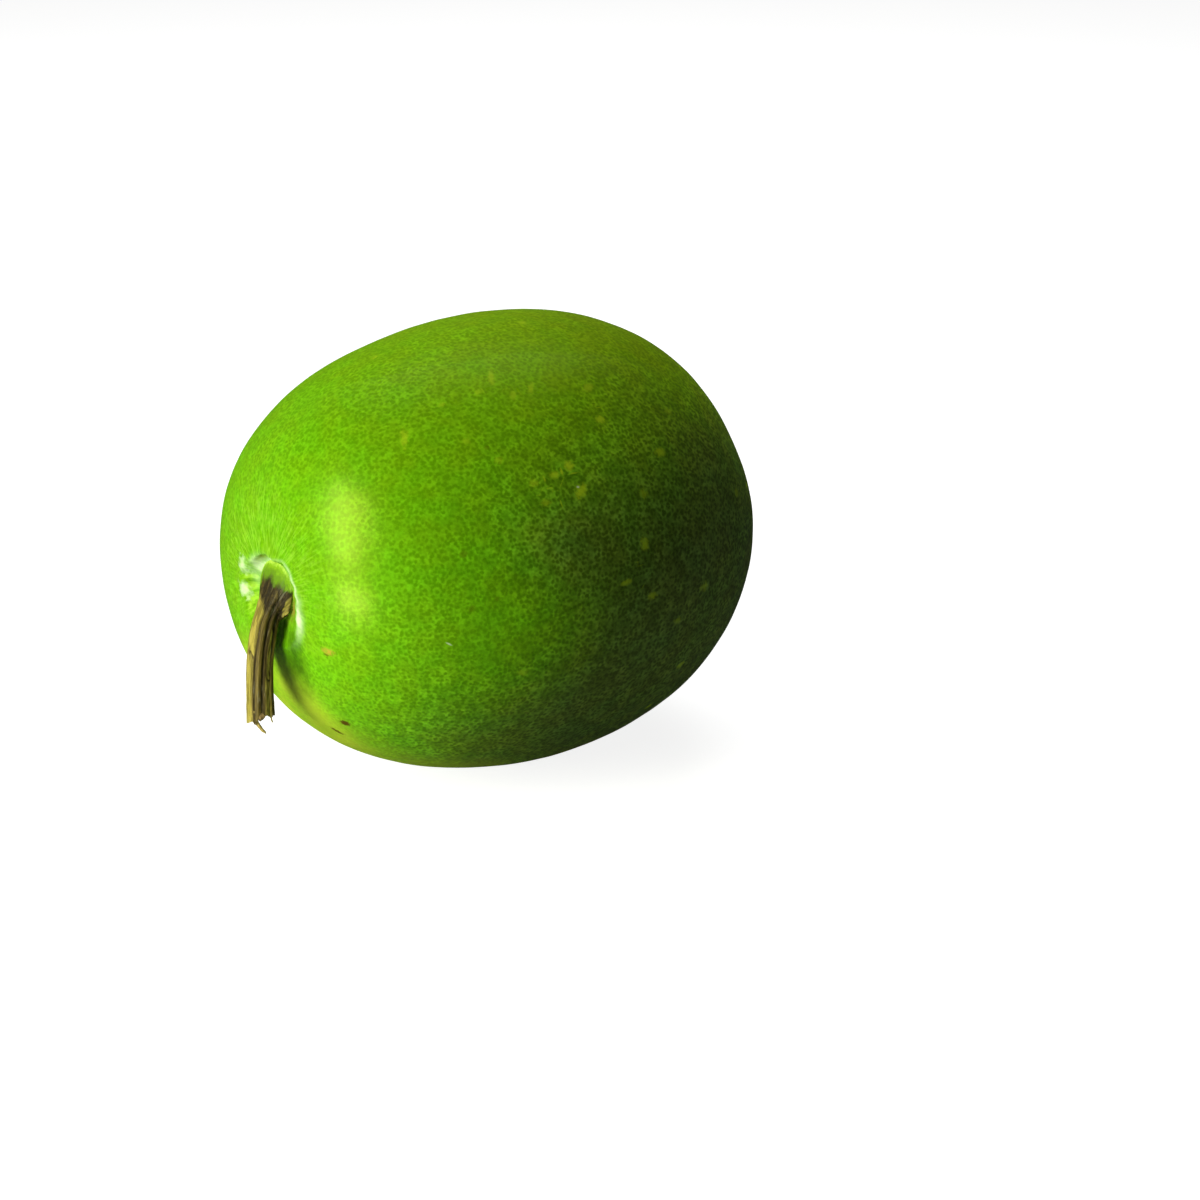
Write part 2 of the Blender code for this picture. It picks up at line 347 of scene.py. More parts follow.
def rindRelief(grid, place, turn, radius):
    # height in mm of waves, dents, pleats, the crease over the stem and the wrinkles round the flower's scar
    s = fruit
    flat, stemEnd = grid.reshape(-1, 3), place < 0.0
    rise = sum(height * noiseOf(flat, size * mm, seed) for height, size, seed in s["waves"])
    rise = rise.reshape(radius.shape) * ease(radius, *s["waveStart"])
    for dentPlace, dentTurn, reach, depth in s["dents"]:
        middle = skinPoint(dentPlace, dentTurn)[0]
        rise = rise - depth * bell(np.linalg.norm(grid - middle, axis=-1), reach * mm)
    degrees, size, seed = s["foldWander"]
    wander = degrees * noiseOf(flat, size * mm, seed).reshape(radius.shape)
    pleats = s["foldHeight"] * np.cos(np.radians(s["foldCount"] * (turn + wander)))
    rise = rise + pleats * stemEnd * ease(radius, *s["foldStart"]) * (1.0 - ease(radius, *s["foldStop"]))
    rise = rise - rindTone["creaseDepth"] * creaseAt(place, turn, radius)
    wrinkles = np.cos(np.radians(s["wrinkleCount"] * (turn + s["wrinkleWander"] * wander)))
    nearScar = ~stemEnd * ease(radius, *s["wrinkleStart"]) * (1.0 - ease(radius, *s["wrinkleStop"]))
    return rise + s["wrinkleHeight"] * wrinkles * nearScar


def buildFruit(material):
    s = fruit
    sides = s["sides"]
    turns = np.arange(sides) * 360.0 / sides
    nearSteps = np.linspace(0.0, 1.0, s["dimpleRings"]) ** s["dimpleCrowding"]
    farSteps = np.linspace(1.0, 0.0, s["scarRings"]) ** s["scarCrowding"]
    near = placeOf(s["firstRadius"] + (s["fineReach"] - s["firstRadius"]) * nearSteps, -1)
    far = placeOf(s["lastRadius"] + (s["fineReach"] - s["lastRadius"]) * farSteps, 1)
    # rings of the body are spaced evenly along the rind
    dense = np.linspace(near[-1], far[0], s["lineSteps"])
    line = skinPoint(dense, 0.0)[0]
    run = np.concatenate([[0.0], np.cumsum(np.linalg.norm(np.diff(line, axis=0), axis=1))])
    body = np.interp(np.linspace(0.0, run[-1], s["bodyRings"] + 2)[1:-1], run, dense)
    places = np.concatenate([near, body, far])
    grid, radius = skinPoint(places[:, None], turns[None, :])
    steps = np.linalg.norm(np.diff(grid, axis=0), axis=-1)
    arc = np.concatenate([np.zeros((1, sides)), np.cumsum(steps, axis=0)])
    around = np.roll(grid, -1, axis=1) - np.roll(grid, 1, axis=1)
    normal = np.cross(around, np.gradient(grid, axis=0))
    normal /= np.linalg.norm(normal, axis=-1, keepdims=True)
    normal *= np.sign((normal * grid).sum(-1).mean())
    turnGrid = np.broadcast_to(turns, radius.shape)
    placeGrid = np.broadcast_to(places[:, None], radius.shape)
    rise = rindRelief(grid, placeGrid, turnGrid, radius)
    points = setDown(grid + normal * (rise * mm)[..., None]).reshape(-1, 3)
    # scars of cork stand up and the furrow is sunk
    scarSpot, furrowSpot = markOffsets(points, "scar"), markOffsets(points, "furrow")
    lift = s["scarLift"] * scarSpot[:, 2] * bell(np.hypot(*scarSpot[:, :2].T), s["scarLiftReach"])
    sink = s["furrowDepth"] * furrowSpot[:, 2] * bell(np.hypot(*furrowSpot[:, :2].T), s["furrowReach"])
    points = points + (normal.reshape(-1, 3) @ settingTurn.T) * ((lift - sink) * mm)[:, None]
    softness = s["restSoftness"] * mm
    points[:, 2] = 0.5 * (points[:, 2] + np.sqrt(points[:, 2] ** 2 + softness ** 2))
    stemTip = setDown(skinPoint(placeOf(s["tipRadius"], -1), 0.0)[0])
    scarTip = setDown(np.array([s["halfLength"] - scarHollow(0.0), 0.0, 0.0]))
    points = np.concatenate([points, [stemTip, scarTip]])
    scarSpot = np.concatenate([scarSpot, np.zeros((2, 3))])
    faces = tubeFaces(len(places), sides)
    values = skinValues(points, placeGrid, turnGrid, radius, arc, scarSpot)
    return makePiece("fruit_rind", points, faces, material, values, "fruit")


# Where the rind's colours lie: lime at the stem's end, a dark side that is partly the rind's own darker green
# and partly painted shade away from the key light, olive on top
rindTone = dict(
    base=0.17, darkPlace=24.0, darkTurn=-116.0, darkReach=(92.0, 34.0), flowerShade=0.04,
    # patches where the tone is lighter or darker: place, turn, reach in degrees, shift of the tone
    patches=((-25.0, -93.0, 19.0, -0.38), (34.0, -36.0, 12.0, -0.12), (-30.0, -20.0, 22.0, 0.10),
             (-14.5, -74.5, 12.0, 0.20), (36.0, -50.0, 14.0, 0.10)),
    oliveTurn=(0.30, 1.0), olivePlace=(-75.0, 35.0),
    bellyTurn=175.0, bellyReach=(20.0, 48.0), bellyStart=(0.018, 0.040), bellyStop=(0.2, 0.9),
    # streaks: how far they reach, their turn, spread and least strength, and how they are drawn out
    streakReach=(0.018, 0.046), streakTurn=(15.0, 75.0, 0.25), streakRing=30.0, streakSquash=0.15,
    # pale and corky bands near the stem: radius mm or shift from the rim mm, width mm, turn, width in turn
    # the two lip bands are partly pale skin and partly a painted highlight where the lip catches the light
    lipBand=(0.0, 0.7, -66.0, 40.0, 0.42), lowLipBand=(0.9, 1.7, -103.0, 17.0, 0.62),
    wallBand=(11.4, 1.8, 60.0, 28.0, 0.55), neckTopBand=(9.8, 1.6, 15.0, 42.0, 0.50),
    corkBand=(11.0, 2.2, -112.0, 24.0, 0.9), scarCork=(0.0022, 0.0048),
    # the crease over the stem is sunk, and its dark cork-coloured line and the gap in the pale bands there
    # are painted shade
    creaseBand=(11.5, 0.45, 24.0, 22.0), creaseDepth=0.60, creaseWidening=1.2, creasePaintedShade=0.65, creaseGap=0.9,
)


def skinValues(points, place, turn, radius, arc, scarSpot):
    # the values that the rind's material reads at each point; the last two points are the tips
    s = rindTone
    stemEnd = place < 0.0

    def column(grid):
        flatGrid = np.asarray(grid, float).reshape(-1)
        return np.concatenate([flatGrid, [flatGrid[0], flatGrid[-1]]])

    def band(name):
        middle, width, centre, spread, strength = s[name]
        rim = rimRadius(turn) / mm if "lip" in name.lower() else 0.0
        around = bell(turnAway(turn, centre), spread)
        return strength * stemEnd * bell(radius / mm - rim - middle, width) * around

    angle, along, reach = np.radians(turn), np.sin(np.radians(place)), np.cos(np.radians(place))
    # angle from the middle of the dark side, whose darkness is partly painted shade
    darkPlace = math.radians(s["darkPlace"])
    facing = reach * math.cos(darkPlace) * np.cos(np.radians(turn - s["darkTurn"]))
    away = np.degrees(np.arccos(np.clip(along * math.sin(darkPlace) + facing, -1.0, 1.0)))
    low, high = s["darkReach"]
    tone = s["base"] + (1.0 - s["base"]) * np.clip((low - away) / (low - high), 0.0, 1.0)
    tone = np.maximum(tone, s["base"] + s["flowerShade"] * (along + 1.0))
    for middlePlace, middleTurn, patchReach, shift in s["patches"]:
        apart = np.hypot(place - middlePlace, turnAway(turn, middleTurn) * reach)
        tone = tone + shift * bell(apart, patchReach)
    olive = ease(np.cos(angle), *s["oliveTurn"]) * ease(place, *s["olivePlace"])
    under = 1.0 - ease(np.abs(turnAway(turn, s["bellyTurn"])), *s["bellyReach"])
    belly = under * (1.0 - ease(along, *s["bellyStop"])) * ease(radius, *s["bellyStart"])
    middle, spread, least = s["streakTurn"]
    around = least + (1.0 - least) * bell(turnAway(turn, middle), spread)
    streak = stemEnd * (1.0 - ease(arc, *s["streakReach"])) * around
    # where a streak lies: round the stem in mm, and along the streak drawn out
    ring = [s["streakRing"] * np.cos(angle), s["streakRing"] * np.sin(angle), s["streakSquash"] * arc / mm]
    ringPoint = np.stack([column(part) for part in ring], -1)
    crease = creaseAt(place, turn, radius, s["creaseWidening"])
    pale = sum(band(name) for name in ("lipBand", "lowLipBand", "wallBand", "neckTopBand"))
    # the pale bands stop at the crease and cork colour darkens it: painted shade in the crease
    pale = pale * (1.0 - s["creaseGap"] * crease)
    corkAndCreaseShade = band("corkBand") + s["creasePaintedShade"] * crease + ~stemEnd * (1.0 - ease(radius, *s["scarCork"]))
    ends = np.clip(np.stack([column(part) for part in (pale, corkAndCreaseShade, olive)], -1), 0.0, 1.0)
    spots = {kind + "Spot": markOffsets(points, kind) for kind in ("fleck", "graze", "furrow", "scuff")}
    return dict(tone=column(tone), belly=column(belly), streak=column(streak), ringPoint=ringPoint, ends=ends,
                scarSpot=scarSpot, **spots)


# Waxy rind, grown: a smooth cuticle over dark chlorophyll dots in a lighter net, so the eye sees a fine
# mottle under a broad soft gloss. Sizes are in mm, as on the real rind.
rind = dict(
    # colours of the net and of the dots in it, along the tone
    tones=(0.0, 0.2, 0.4, 0.56, 0.7, 0.82, 0.94, 1.0),
    net=("#6ead07", "#6dae0d", "#6eb112", "#72ae1d", "#719f27", "#6c922f", "#678835", "#648438"),
    dots=("#599101", "#558d02", "#4d8203", "#487506", "#43640a", "#3d580d", "#384f11", "#364c12"),
    # size and detail of each noise
    noises=dict(blotch=(26.0, 3.0), patch=(4.5, 2.5), grain=(0.9, 2.0), cells=(0.98, 0.6), hue=(11.0, 4.0),
                warp=(2.4, 1.0)),
    dotSpacing=1.52, dotRandomness=0.85, warpReach=0.6, lineSize=0.70, lineBend=0.4,
    # soft steps: what each is made from, where it starts and stops, and its values there unless 0 and 1
    steps=dict(dotted=("dots", 0.10, 0.70, 1.0, 0.0), celled=("cells", 0.66, 0.34, 0.0, 0.52),
               lined=("lines", 0.60, 0.40), contrast=("patch", 0.30, 0.70, 0.78, 1.0),
               swing=("patch", 0.32, 0.68, -1.0, 1.0), lean=("hue", 0.32, 0.68),
               patchy=("blotch", 0.25, 0.60, 0.0, 0.75), gaps=("lines", 0.50, 0.66, 0.0, 0.42),
               crumbly=("grain", 0.35, 0.58, 0.45, 1.0), rubbed=("patch", 0.32, 0.58, 0.45, 1.0)),
    lineShare=0.55, blotchDrift=0.16, patchDrift=0.24, amount=(0.15, 0.60, 0.07, 0.28), oliveHue=0.465,
    # edge of each kind of mark: start and stop in half sizes, grain, raggedness
    edges=dict(furrow=(0.15, 1.25, 5.0, 0.8), fleck=(0.25, 1.35, 1.2, 1.5), graze=(0.30, 1.15, 0.9, 2.0),
               scar=(0.45, 1.20, 0.9, 1.5), scuff=(0.10, 1.35, 1.6, 1.9)),
    # the furrow's dark colour is a painted shadow of the stem
    cool="#f0fff2", warm="#fff8e2", belly="#aebf30", streak="#a2cc48", furrow="#8f9f74", fleck="#a6c61c",
    # lip is the pale colour of the dimple's bands, partly a painted highlight on the lip
    graze="#a58c30", scar="#4a2c06", scuff="#e6f0d8", lip="#dce9c8", corkAndCreaseShade="#7d5f2c",
    roughness=0.29, roughSpread=0.10, dullness=0.30, rim=(0.30, 0.62, 0.0, 0.40), ior=1.42,
    gloss=(0.80, 1.0, 0.10, 1.0), bumpHeight=0.02, bumpStrength=0.8, grainBump=0.25,
)


def markMask(add, place, kind):
    # mask of one kind of mark: its strength, inside an edge that noise makes ragged
    start, stop, grainSize, raggedness = rind["edges"][kind]
    offset = add("Attribute", {"attribute_name": kind + "Spot"}, out=1)
    strength = add("SeparateXYZ", None, [offset], out=2)
    flat = add("VectorMath", times, [offset, (1.0, 1.0, 0.0)])
    away = add("VectorMath", {"operation": "LENGTH"}, [flat], out=1)
    grain = add("TexNoise", None, {"Vector": place, "Scale": 1.0 / (grainSize * mm), "Detail": 2.0})
    shift = add("Math", timesPlus, [grain, raggedness, -0.5 * raggedness])
    ragged = add("Math", plus, [away, shift])
    inside = add("MapRange", softStep, [ragged, start, stop, 1.0, 0.0])
    return add("Math", times, [inside, strength])


def makeRindMaterial():
    material, add, shader = newMaterial("waxy_rind_grown")
    s = rind
    place = add("TexCoord", out=3)
    ringPoint, ends = [add("Attribute", {"attribute_name": name}, out=1) for name in ("ringPoint", "ends")]
    streak, tone, belly = [add("Attribute", {"attribute_name": name}, out=2)
                           for name in ("streak", "tone", "belly")]
    noises = {name: add("TexNoise", None, {"Vector": place, "Scale": 1.0 / (size * mm), "Detail": detail})
              for name, (size, detail) in s["noises"].items()}
    blotch, patch, grain = noises["blotch"], noises["patch"], noises["grain"]
    # dark dots in a light net, bent so that their rows aren't even, and drawn out near the stem
    bent = add("VectorMath", timesPlus, [noises["warp"].node.outputs[1], (s["warpReach"] * mm,) * 3, place])
    noises["dots"] = add("TexVoronoi", None, {"Vector": bent, "Scale": 1.0 / (s["dotSpacing"] * mm),
                                              "Randomness": s["dotRandomness"]})
    noises["lines"] = add("TexNoise", None, {"Vector": ringPoint, "Scale": 1.0 / s["lineSize"],
                                             "Detail": 2.0, "Distortion": s["lineBend"]})
    step = {name: add("MapRange", softStep, [noises[source], *limits])
            for name, (source, *limits) in s["steps"].items()}
    speckled = add("Math", plusHeld, [step["dotted"], step["celled"]])
    share = add("Math", times, [streak, s["lineShare"]])
    mottle = add("Mix", {"data_type": "FLOAT"}, {0: share, 2: speckled, 3: step["lined"]})
    mottle = add("Math", times, [mottle, step["contrast"]])
    # the tone drifts in blotches and in small patches
    tone = add("Math", minus, [tone, 0.5 * (s["blotchDrift"] + s["patchDrift"])])
    tone = add("Math", timesPlus, [blotch, s["blotchDrift"], tone])
    tone = add("Math", timesPlusHeld, [patch, s["patchDrift"], tone])
    net, dot = [add("ValToRGB", {"stops": list(zip(s["tones"], s[name]))}, [tone])
                for name in ("net", "dots")]
    colour = add("Mix", layer, {0: mottle, 6: net, 7: dot}, out=2)
    # small patches are lighter or darker, most of all on the dark side
    amount = add("MapRange", softStep, [tone, *s["amount"]])
    level = add("Math", timesPlus, [step["swing"], amount, 1.0])
    colour = add("HueSaturation", None, {"Value": level, "Color": colour})
    # patches lean to olive or to blue-green, and the top leans to olive
    tint = add("Mix", layer, {0: step["lean"], 6: s["cool"], 7: s["warm"]}, out=2)
    colour = add("Mix", stain, {0: 1.0, 6: colour, 7: tint}, out=2)
    lip, corkAndCreaseShade, olive = add("SeparateXYZ", None, [ends]).node.outputs
    warmer = add("HueSaturation", None, {"Hue": s["oliveHue"], "Color": colour})
    colour = add("Mix", layer, {0: olive, 6: colour, 7: warmer}, out=2)
    # yellowish where the fruit lay on the ground, pale streaks from the stem, the marks (the furrow's dark
    # one a painted shadow of the stem), the dimple's pale lip, partly a painted highlight where it catches
    # the light, its pale wall, and corky skin beside the stem with painted shade in the crease over it
    masks = {"belly": add("Math", times, [belly, step["patchy"]])}
    gaps = add("Math", times, [step["gaps"], streak])
    masks["streak"] = add("Math", times, [gaps, step["contrast"]])
    for kind in s["edges"]:
        masks[kind] = markMask(add, place, kind)
    masks["graze"] = add("Math", times, [masks["graze"], step["crumbly"]])
    # the pale bands, broken up by noise; those on the lip are partly a painted highlight
    masks["lip"] = add("Math", times, [lip, step["rubbed"]])
    # this mask carries corky skin and the painted shade in the crease
    masks["corkAndCreaseShade"] = add("Math", times, [corkAndCreaseShade, step["crumbly"]])
    for name, mask in masks.items():
        # the furrow's layer multiplies the rind darker: a painted shadow of the stem
        blend = stain if name == "furrow" else layer
        colour = add("Mix", blend, {0: mask, 6: colour, 7: s[name]}, out=2)
    # duller where the rind is hurt
    dull = add("Math", larger, [masks["graze"], masks["scuff"]])
    dull = add("Math", larger, [dull, masks["corkAndCreaseShade"]])
    shine = add("Math", timesPlus, [patch, s["roughSpread"], s["roughness"] - 0.5 * s["roughSpread"]])
    shine = add("Math", timesPlus, [dull, s["dullness"], shine])
    # the wax scatters light that comes and goes at a low angle, so the far rim doesn't glare
    facing = add("LayerWeight", None, {"Blend": 0.5}, out=1)
    scatter = add("MapRange", softStep, [facing, *s["rim"]])
    shine = add("Math", plus, [shine, scatter])
    sunk = add("Math", times, [mottle, -1.0])
    height = add("Math", timesPlus, [grain, s["grainBump"], sunk])
    bump = add("Bump", None, {"Height": height, "Distance": s["bumpHeight"] * mm,
                              "Strength": s["bumpStrength"]})
    fillSockets(shader, {"Base Color": colour, "Roughness": shine, "Normal": bump, "IOR": s["ior"],
                         "Specular Tint": s["gloss"]})
    return material


# The stem: the source's bent, ribbed line on a finer grid, with grooves, fibres, strips of skin, a torn end
stem = dict(
    plugRadius=0.0095, gap=0.0003, length=0.0440, rootRadius=0.0098, radius=0.0043, flareLength=0.0058,
    endSpread=0.0003, ribHeight=0.08, sideRibHeight=0.06, ribTwist=14.0, rootBend=50.5, endBend=81.0,
    sectionBendLength=0.0200, swing=18.0, lineReserve=1.25, lineSteps=1200,
    breakReach=0.8, breakStep=0.0008, breakTurn=40.0, breakSharpness=4.0,
    sides=240, rings=290, sharpAngle=55, rootDepth=0.0012, rootLift=0.0005, heelDepth=0.0020,
    # the torn face: depth mm, share of the width of each row, and its noise's height mm, size mm and seed
    pithDepth=2.8, pithRows=(0.90, 0.80, 0.62, 0.40, 0.18), pithRoundness=0.55, pithNoise=(0.35, 0.8, 15.0),
    # noise of the straightened bark, a tube of this radius in mm: squash along it, size mm, seed, share
    barkRadius=4.5, fibres=((0.055, 0.42, 2.0, 1.0), (0.10, 0.20, 6.0, 0.6)), knots=((0.22, 1.5, 9.0, 1.0),),
    splits=((0.05, 0.9, 12.0, 1.0),), wrinkles=((0.60, 0.9, 15.0, 1.0), (0.45, 0.4, 19.0, 0.5)),
    # heights and depths in mm, and how each comes in
    fibreHeight=0.09, knotHeight=0.16, wrinkleHeight=0.34, wrinkleStop=(7.0, 13.0), barkStart=(1.5, 5.0),
    grooveDepth=0.24, grooveStart=(0.72, 1.0), grooveLeast=0.55, grooveKnots=(-0.4, 0.5), ribSinking=0.45,
    crackDepth=0.30, crackStart=(0.30, 0.42), crackLeast=0.4, tornFrom=(36.0, 44.0),
    # how much ribs, fibres, grooves and cracks lighten or darken the bark, and its lightness at both ends;
    # lighter rib crests and darker grooves and cracks are partly the bark's own colour and partly painted
    # highlight and shade
    ridgeBase=0.40, ridgeShares=(1.3, 0.30, -0.30, -0.35), ridgeEnds=(0.5, 0.4),
    # teeth and notches of the torn end: turn, spread in turn, length in mm
    teeth=((-30.0, 10.0, 1.1), (-62.0, 11.0, -1.3), (20.0, 14.0, 0.5), (-100.0, 12.0, 0.5),
           (120.0, 15.0, 0.9)),
    tears=((0.55, 0.75, 4.0), (0.35, 0.3, 7.0)),  # noise of that end: height mm, size mm, seed
    # pale strips of dried skin: turn, half width in turn, from and to mm, paleness, lift mm
    strips=((-14.0, 30.0, 8.0, 22.5, 1.0, 0.12), (-12.0, 27.0, 22.5, 50.0, 0.80, -0.04),
            (-107.0, 10.0, 14.0, 31.0, 0.95, 0.10), (-108.0, 17.0, 31.0, 50.0, 0.75, 0.0),
            (60.0, 14.0, 10.0, 50.0, 0.45, 0.05), (118.0, 12.0, 13.0, 34.0, 0.75, 0.14),
            (165.0, 16.0, 9.0, 50.0, 0.40, 0.0), (-118.0, 20.0, 0.4, 5.5, 0.80, 0.0)),
    # their raggedness by knots and fibres, slant, length of both ends in mm, ragged sides and inner width
    stripRagged=(1.4, 0.6), stripSlant=0.06, stripEnds=(1.5, 0.5), stripSides=(5.0, 0.72),
    # where green flesh turns to dry bark: mm from the root, how ragged, and how much sooner near this turn
    dryFrom=(2.2, 6.0), dryRagged=0.9, dryEarly=(4.0, -112.0, 34.0),
)


def stemBend(length):
    share = np.sin(np.pi / 2.0 * length / stem["length"])
    return stem["rootBend"] + (stem["endBend"] - stem["rootBend"]) * share


def bentDirection(angle):
    swing = math.radians(stem["swing"])
    hang = np.array([0.0, -math.sin(swing), -math.cos(swing)])
    angle = np.radians(np.asarray(angle, float))[..., None]
    return np.array([-1.0, 0.0, 0.0]) * np.cos(angle) + hang * np.sin(angle)


def stemLine(lengths):
    # points of the stem's middle line at these lengths, before the fruit is set down
    start = skinPoint(placeOf(stem["plugRadius"] + stem["gap"], -1), 0.0)[0] * (1.0, 0.0, 0.0)
    dense = np.linspace(0.0, stem["length"] * stem["lineReserve"], stem["lineSteps"])
    steps = bentDirection(stemBend((dense[1:] + dense[:-1]) / 2.0)) * np.diff(dense)[:, None]
    line = start + np.concatenate([np.zeros((1, 3)), np.cumsum(steps, axis=0)])
    return np.stack([np.interp(lengths, dense, line[:, axis]) for axis in range(3)], -1)


def stemRadius(length):
    flare = (stem["rootRadius"] - stem["radius"]) * bell(length, stem["flareLength"])
    return stem["radius"] + flare + stem["endSpread"] * ease(length, stem["length"] / 2.0, stem["length"])


def ribWave(turn, length):
    twist = stem["ribTwist"] * length / stem["length"]
    angle = np.radians(fruit["ribCount"] * (turn - twist - fruit["ribTurn"]))
    return angle, stem["ribHeight"] * np.cos(angle) + stem["sideRibHeight"] * np.cos(2.0 * angle)


def stemPoint(length, turn, lift=0.0, offset=0.0):
    # points of the stem's skin at this length and turn, lifted off it and shifted along it
    given = [np.asarray(value, float) for value in (length, turn, lift, offset)]
    length, turn, lift, offset = np.broadcast_arrays(*given)
    bend = stemBend(np.clip(length, 0.0, stem["length"]))
    bend = bend * ease(length, stem["gap"], stem["sectionBendLength"])
    direction = bentDirection(bend)
    swing = math.radians(stem["swing"])
    sideways = np.array([0.0, math.cos(swing), -math.sin(swing)])
    outward = np.cross(np.broadcast_to(sideways, direction.shape), direction)
    angle = np.radians(turn)[..., None]
    across = outward * np.cos(angle) + sideways * np.sin(angle)
    grown = ease(length, 0.0, stem["flareLength"])
    radius = stemRadius(length) * (1.0 + grown * ribWave(turn, length)[1]) + lift
    centre = stemLine(length.ravel()).reshape(*length.shape, 3)
    return centre + across * radius[..., None] + direction * offset[..., None]


def ringNoise(turns, size, seed, share=1.0, depth=0.0):
    # noise round the stem's section
    angle, radius = np.radians(turns), stem["barkRadius"] * share
    ring = np.stack([radius * np.cos(angle), radius * np.sin(angle), 0.0 * turns + depth], -1)
    return noiseOf(ring, size, seed)


def buildStem(material):
    s = stem
    sides, rings = s["sides"], s["rings"]
    turns = np.arange(sides) * 360.0 / sides
    turnGrid, lengthGrid = np.meshgrid(turns, np.linspace(0.0, s["length"], rings))
    angle, wave = ribWave(turnGrid, lengthGrid)
    length = lengthGrid / mm
    straightTurn = turnGrid - s["ribTwist"] * lengthGrid / s["length"]
    # straightened position in mm, in which the fibres run along the third axis
    across, around = np.cos(np.radians(straightTurn)), np.sin(np.radians(straightTurn))
    straight = np.stack([s["barkRadius"] * across, s["barkRadius"] * around, length], -1)
    flat = straight.reshape(-1, 3)
    fibre, knots, split, wrinkle = [
        sum(share * noiseOf(flat * (1.0, 1.0, squash), size, seed) for squash, size, seed, share in s[name])
        .reshape(length.shape) for name in ("fibres", "knots", "splits", "wrinkles")]
    early, earlyTurn, earlySpread = s["dryEarly"]
    dried = length + s["dryRagged"] * knots + early * bell(turnAway(turnGrid, earlyTurn), earlySpread)
    dryness = ease(dried, *s["dryFrom"])
    # grooves between the ribs, deeper in places, like bark that has shrunk
    valley = 0.5 - 0.5 * np.cos(2.0 * angle)
    uneven = s["grooveLeast"] + (1.0 - s["grooveLeast"]) * ease(knots, *s["grooveKnots"])
    groove = ease(valley, *s["grooveStart"]) * uneven
    crack = ease(split, *s["crackStart"])
    opened = s["crackLeast"] + (1.0 - s["crackLeast"]) * ease(length, *s["tornFrom"])
    lift = s["fibreHeight"] * fibre + s["knotHeight"] * knots
    lift = lift - s["grooveDepth"] * groove - s["crackDepth"] * crack * opened
    lift = lift + s["wrinkleHeight"] * wrinkle * (1.0 - ease(length, *s["wrinkleStop"]))
    # the old ribs have sunk in
    lift = lift - s["ribSinking"] * wave * stemRadius(lengthGrid) / mm
    lift = lift * ease(length, *s["barkStart"]) * dryness
    # strips of skin stand off the bark and end in a ragged slant
    pale = np.zeros(length.shape)
    byKnots, byFibres = s["stripRagged"]
    runIn, runOut = s["stripEnds"]
    sideRagged, sideShare = s["stripSides"]
    ragged = byKnots * knots + byFibres * fibre
    for middle, halfWidth, start, stop, paleness, height in s["strips"]:
        aside = turnAway(straightTurn, middle)
        over = 1.0 - ease(np.abs(aside) + sideRagged * fibre, sideShare * halfWidth, halfWidth)
        slant = length + s["stripSlant"] * aside
        over = over * ease(slant + ragged, start, start + runIn)
        over = over * (1.0 - ease(slant + 0.5 * ragged, stop - runOut, stop))
        pale = np.maximum(pale, paleness * over)
        lift = lift + height * over
    tear = s["breakStep"] * np.tanh(s["breakSharpness"] * np.cos(np.radians(turns - s["breakTurn"])))
    tear = tear + sum(height * mm * ringNoise(turns, size, seed) for height, size, seed in s["tears"])
    tear = tear + sum(mm * reach * bell(turnAway(turns, middle), spread)
                      for middle, spread, reach in s["teeth"])
    nearEnd = ease(lengthGrid, s["breakReach"] * s["length"], s["length"])
    outer = stemPoint(lengthGrid, turnGrid, lift * mm, nearEnd * tear)
    rows = [stemPoint(0.0, turns, s["rootLift"]) + np.array([s["rootDepth"], 0.0, 0.0]), *outer]
    # the torn face: a rim of bark, then the pith drawn in
    edge = stemPoint(s["length"], turns)
    heel, centre = stemLine(np.array([0.0, s["length"]]))
    axis = bentDirection(s["endBend"])
    roughness, roughSize, roughSeed = s["pithNoise"]
    for share in s["pithRows"]:
        depth = s["pithDepth"] * (1.0 - share) ** s["pithRoundness"]
        rough = roughness * ringNoise(turns, roughSize, roughSeed, share, depth)
        keep = 1.0 - depth / s["pithDepth"]
        rows.append(centre + (edge - centre) * share + axis * (keep * tear + (rough - depth) * mm)[:, None])
    tips = [heel + np.array([s["heelDepth"], 0.0, 0.0]), centre - axis * (s["pithDepth"] * mm)]
    points = setDown(np.concatenate([*rows, tips]))

    def padded(grid, first, last):
        # values of the tube's rings, with those of the hidden root before them and of the torn face after
        before, after = np.tile(first, (sides, 1)), np.tile(last, (sides * len(s["pithRows"]) + 2, 1))
        return np.concatenate([before, grid.reshape(rings * sides, -1), after]).squeeze()

    # lighter rib crests and darker grooves and cracks are partly painted highlight and shade
    shares = zip(s["ridgeShares"], (wave, fibre, groove, crack))
    ridge = np.clip(s["ridgeBase"] + sum(share * part for share, part in shares), 0.0, 1.0)
    zones = np.stack([dryness, pale, np.zeros(length.shape)], -1)
    end = s["length"] / mm
    values = dict(barkPoint=padded(straight, straight[0, 0], (0.0, 0.0, end)),
                  ridge=padded(ridge, *s["ridgeEnds"]), stemLength=padded(length, 0.0, end),
                  zones=padded(zones, (0.0, 0.0, 0.0), (1.0, 0.0, 1.0)))
    faces = tubeFaces(len(rows), sides)
    return makePiece("stem_bark", points, faces, material, values, "stem", s["sharpAngle"])


# Fibres torn loose at the stem's end
splinters = dict(
    # turn, and in mm: length in the bark and free of it, width, thickness, lean in X and in Y
    pieces=((-26.0, 2.6, 4.6, 2.10, 1.50, 2.3, -2.4), (-112.0, 1.6, 1.5, 0.60, 0.40, 0.3, -0.4),
            (28.0, 1.6, 1.3, 0.70, 0.40, -0.2, 0.2), (95.0, 1.8, 2.2, 0.80, 0.45, -0.5, 0.4),
            (165.0, 1.6, 1.7, 0.65, 0.40, 0.4, 0.3)),
    # depth in the bark mm; how they bend and taper; their noise: height mm, size mm, squash along them
    sides=20, rings=36, inset=0.75, bendPower=1.5, taper=0.35, tipTaper=0.7, tipStart=0.92,
    roughness=(0.10, 0.5, 0.3), capHeights=(0.2, 0.1), ridge=0.75, zones=(1.0, 0.75, 0.35),
)


